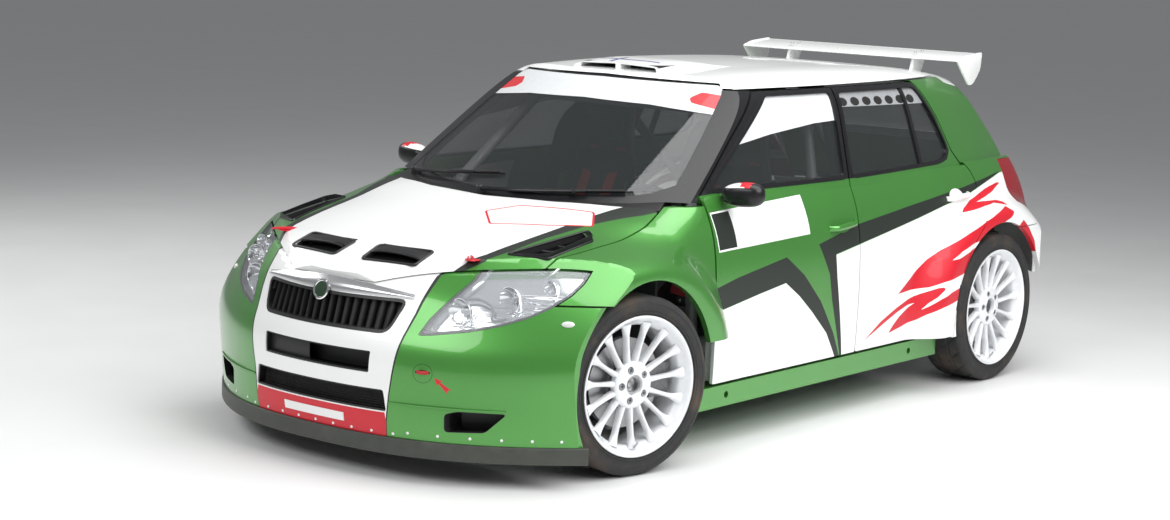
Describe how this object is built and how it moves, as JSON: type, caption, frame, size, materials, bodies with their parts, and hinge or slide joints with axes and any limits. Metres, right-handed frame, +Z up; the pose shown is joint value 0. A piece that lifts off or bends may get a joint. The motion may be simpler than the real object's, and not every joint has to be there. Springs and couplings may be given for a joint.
{
  "type": "rally car",
  "caption": "Compact five-door tarmac rally car with opening doors, bonnet and tailgate, turning wheels, working steering, roll cage, roof scoop and rear wing.",
  "frame": {"origin": "on the ground under the middle of the car", "axes": "-Y to the front of the car, +X to its left, +Z up"},
  "size_m": [1.8874, 3.9813, 1.388],
  "materials": {
    "green_paint": "metallic gloss",
    "white_paint": "gloss",
    "window_glass": "clear",
    "lamp_glass": "clear",
    "red_lens": "gloss",
    "tyre": "matte",
    "rim_paint": "gloss",
    "black_plastic": "satin",
    "black_paint": "gloss",
    "seat_fabric": "matte",
    "cage_paint": "satin",
    "cast_metal": "rough",
    "steel": "satin",
    "dark_paint": "satin"
  },
  "bodies": {
    "body": {"front_bumper": "green_paint", "splitter": "black_plastic", "grille": "black_plastic", "headlamps": "lamp_glass", "front_wings": "green_paint", "rear_quarters": "green_paint", "sills": "green_paint", "pillars": "black_paint", "roof": "white_paint", "rear_bumper": "green_paint", "tail_lamps": "red_lens", "windscreen": "window_glass", "wipers": "black_plastic", "floor_pan": "dark_paint", "front_frame": "dark_paint", "engine_block": "cast_metal", "exhaust": "steel", "roll_cage": "cage_paint", "bucket_seats": "seat_fabric", "dashboard": "black_plastic", "suspension": "cast_metal"},
    "bonnet": {"bonnet": "green_paint"},
    "door_fl": {"door_front_left": "green_paint", "glass_front_left": "window_glass", "mirror_left": "black_plastic"},
    "door_fr": {"door_front_right": "green_paint", "glass_front_right": "window_glass", "mirror_right": "black_plastic"},
    "door_rl": {"door_rear_left": "green_paint", "glass_rear_left": "window_glass"},
    "door_rr": {"door_rear_right": "green_paint", "glass_rear_right": "window_glass"},
    "tailgate": {"tailgate": "white_paint", "tailgate_glass": "window_glass", "rear_wing": "white_paint"},
    "helm": {"steering_wheel": "black_plastic"},
    "knuckle_left": {"knuckle_left": "cast_metal"},
    "knuckle_right": {"knuckle_right": "cast_metal"},
    "wheel_fl": {"rim_front_left": "rim_paint", "tyre_front_left": "tyre"},
    "wheel_fr": {"rim_front_right": "rim_paint", "tyre_front_right": "tyre"},
    "wheel_rl": {"rim_rear_left": "rim_paint", "tyre_rear_left": "tyre"},
    "wheel_rr": {"rim_rear_right": "rim_paint", "tyre_rear_right": "tyre"}
  },
  "joints": [
    {"name": "steering", "type": "hinge", "parent": "body", "child": "knuckle_left", "pos_m": [0.7385, -1.243, 0.319], "axis": [0, 0, 1], "range_deg": [-18.6, 41.4]},
    {"name": "steering_right", "type": "hinge", "parent": "body", "child": "knuckle_right", "pos_m": [-0.7385, -1.243, 0.319], "axis": [0, 0, 1], "range_deg": [-18.6, 41.4]},
    {"name": "steering_wheel_turn", "type": "hinge", "parent": "body", "child": "helm", "pos_m": [0.34, -0.503, 0.7615], "axis": [0, 0.9532, 0.3024], "range_deg": [-223.2, 496.8]},
    {"name": "wheel_front_left_spin", "type": "hinge", "parent": "knuckle_left", "child": "wheel_fl", "pos_m": [0.78751, -1.25288, 0.319], "axis": [0.9803, -0.1977, 0], "continuous": true},
    {"name": "wheel_front_right_spin", "type": "hinge", "parent": "knuckle_right", "child": "wheel_fr", "pos_m": [-0.78751, -1.23312, 0.319], "axis": [0.9803, -0.1977, 0], "continuous": true},
    {"name": "wheel_rear_left_spin", "type": "hinge", "parent": "body", "child": "wheel_rl", "pos_m": [0.7885, 1.243, 0.319], "axis": [1, 0, 0], "continuous": true},
    {"name": "wheel_rear_right_spin", "type": "hinge", "parent": "body", "child": "wheel_rr", "pos_m": [-0.7885, 1.243, 0.319], "axis": [1, 0, 0], "continuous": true},
    {"name": "door_front_left_hinge", "type": "hinge", "parent": "body", "child": "door_fl", "pos_m": [0.853, -0.7435, 0.5], "axis": [0, 0, -1], "range_deg": [0, 65]},
    {"name": "door_front_right_hinge", "type": "hinge", "parent": "body", "child": "door_fr", "pos_m": [-0.853, -0.7435, 0.5], "axis": [0, 0, 1], "range_deg": [0, 65]},
    {"name": "door_rear_left_hinge", "type": "hinge", "parent": "body", "child": "door_rl", "pos_m": [0.822, 0.229, 0.5], "axis": [0, 0, -1], "range_deg": [0, 65]},
    {"name": "door_rear_right_hinge", "type": "hinge", "parent": "body", "child": "door_rr", "pos_m": [-0.822, 0.229, 0.5], "axis": [0, 0, 1], "range_deg": [0, 65]},
    {"name": "bonnet_hinge", "type": "hinge", "parent": "body", "child": "bonnet", "pos_m": [0, -0.906, 0.915], "axis": [-1, 0, 0], "range_deg": [0, 60]},
    {"name": "tailgate_hinge", "type": "hinge", "parent": "body", "child": "tailgate", "pos_m": [0, 1.3415, 1.3095], "axis": [1, 0, 0], "range_deg": [0, 75]}
  ],
  "couplings": [
    {"joint": "steering_right", "follows": "steering", "ratio": 1},
    {"joint": "steering_wheel_turn", "follows": "steering", "ratio": 12}
  ]
}
